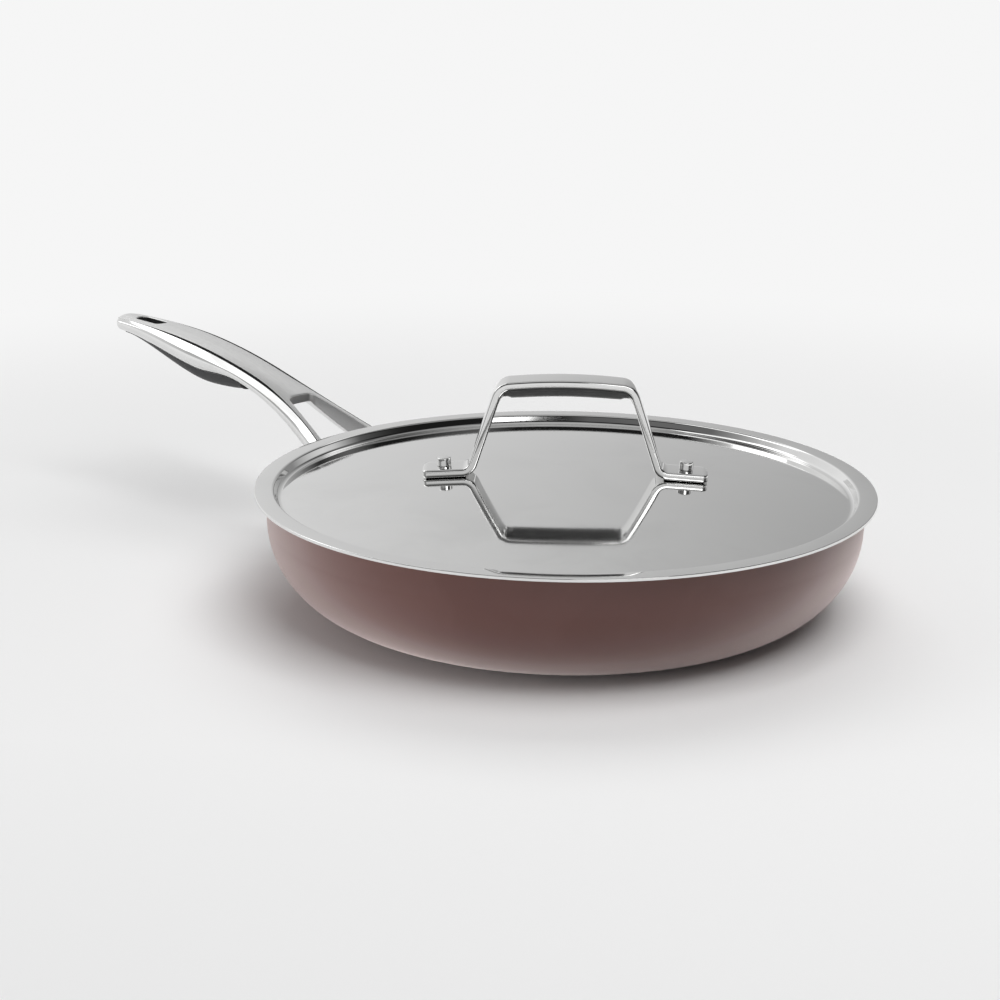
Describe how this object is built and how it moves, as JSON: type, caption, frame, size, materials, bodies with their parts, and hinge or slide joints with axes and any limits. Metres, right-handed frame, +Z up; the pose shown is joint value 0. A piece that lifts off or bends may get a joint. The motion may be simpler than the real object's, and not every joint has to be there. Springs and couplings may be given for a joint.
{
  "type": "frying pan with lid",
  "caption": "Curved-wall frying pan with a forked cast handle, a dark grip under it and a lift-off domed metal lid with a bent strap handle.",
  "frame": {"origin": "centre of the pan's flat base, on the surface it stands on", "axes": "+Z up along the pan's axis, the long handle points to -X, and the lid's strap handle is turned 40 degrees from X"},
  "size_m": [0.5069, 0.3098, 0.1151],
  "materials": {
    "pan_body": "bronze brown hard-anodised, satin",
    "pan_handle": "cast, satin top face with polished bevels",
    "handle_under_grip": "black, matt",
    "rivets": "polished",
    "lid_shell": "mirror polished",
    "lid_handle": "mirror polished"
  },
  "bodies": {
    "pan": {"pan_body": "pan_body", "pan_handle": "pan_handle", "handle_under_grip": "handle_under_grip", "handle_rivet_a": "rivets", "handle_rivet_b": "rivets"},
    "lid": {"lid_shell": "lid_shell", "lid_handle": "lid_handle", "lid_rivet_a": "rivets", "lid_rivet_b": "rivets"}
  },
  "joints": [
    {"name": "lid_lift", "type": "slide", "parent": "pan", "child": "lid", "axis": [0, 0, 1], "range_m": [0, 0.12]}
  ]
}
